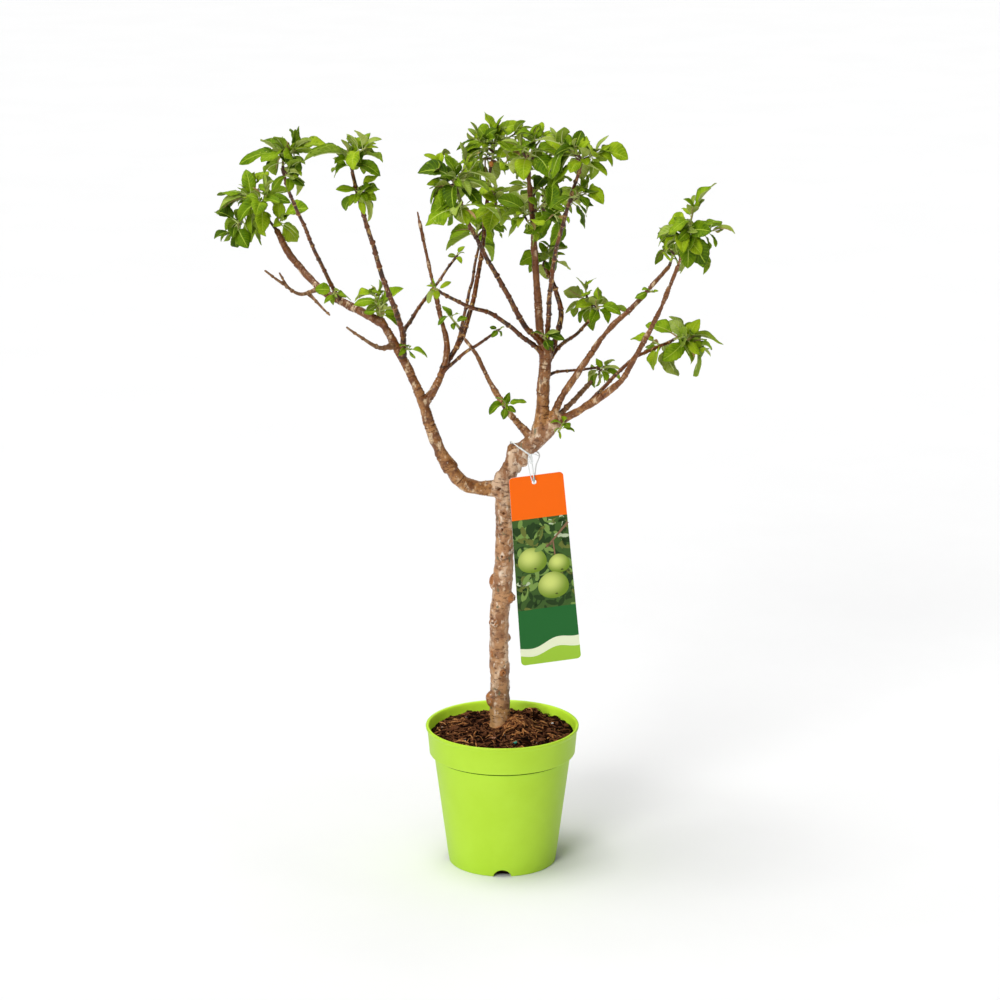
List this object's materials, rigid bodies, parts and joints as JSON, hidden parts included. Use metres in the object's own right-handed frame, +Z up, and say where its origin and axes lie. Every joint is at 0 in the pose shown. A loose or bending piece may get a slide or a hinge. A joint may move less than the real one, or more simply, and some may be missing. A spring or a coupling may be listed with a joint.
{
  "type": "dwarf apple tree in a pot",
  "caption": "Young dwarf apple tree with a knobbly trunk, upswept limbs and leafy tips, in a lime green nursery pot of soil, with a hanging label card on an elastic tie.",
  "frame": {"origin": "centre of the flat underside of the pot", "axes": "+Z up along the trunk, +X to the right and +Y to the back as seen from the side that the label card faces"},
  "size_m": [0.6561, 0.3823, 0.9905],
  "materials": {
    "pot_plastic": "smooth lime green moulded plastic with a soft sheen",
    "potting_soil": "damp dark brown potting soil with coir fibre and pale grains",
    "bark": "rough grey-brown bark with knobs and scars",
    "young_bark": "smooth reddish brown bark with pale lenticels",
    "foliage": "fresh green leaves with a satin upper side and pale veins",
    "label_card": "printed card with a glossy face",
    "label_tie": "white elastic cord"
  },
  "bodies": {
    "root": {"pot": "pot_plastic", "soil": "potting_soil", "trunk": "bark", "bough_left_low": "bark", "bough_left_rise": "bark", "limb_far_left": "bark", "twig_far_left_up": "young_bark", "twig_far_left_dead": "young_bark", "stub_left_dry": "young_bark", "limb_left_inner": "young_bark", "twig_left_inner_side": "young_bark", "limb_left_centre": "bark", "whip_left_back": "young_bark", "twig_left_back_side": "young_bark", "twig_left_low_side": "young_bark", "twig_middle": "bark", "leader": "bark", "whip_centre": "bark", "whip_right_tall": "young_bark", "whip_right_bent": "young_bark", "whip_left_low": "young_bark", "whip_left_high": "young_bark", "twig_right_back": "young_bark", "twig_right_mid": "young_bark", "limb_right_inner": "bark", "limb_right_outer": "bark", "twig_right_outer_side": "young_bark", "stub_right_cut": "young_bark", "leaves_far_left": "foliage", "leaves_left_top": "foliage", "leaves_left_inner_top": "foliage", "leaves_left_inner_low": "foliage", "leaves_left_spur": "foliage", "leaves_left_fork": "foliage", "leaves_far_left_low": "foliage", "leaves_left_tuft": "foliage", "leaves_whip_spur": "foliage", "leaves_crown_left": "foliage", "leaves_crown_top": "foliage", "leaves_crown_centre": "foliage", "leaves_crown_right": "foliage", "leaves_crown_right_low": "foliage", "leaves_crown_mid": "foliage", "leaves_crown_low": "foliage", "leaves_crown_inner": "foliage", "leaves_crown_back": "foliage", "leaves_bent_whip": "foliage", "leaves_leader": "foliage", "leaves_right_top": "foliage", "leaves_right_upper": "foliage", "leaves_right_low": "foliage", "leaves_right_back": "foliage", "leaves_right_mid": "foliage", "leaves_middle": "foliage", "leaves_under_fork": "foliage", "leaves_right_bud": "foliage", "leaves_low_side_bud": "foliage", "leaves_inner_side_bud": "foliage", "label_card": "label_card", "label_tie": "label_tie"}
  },
  "joints": []
}
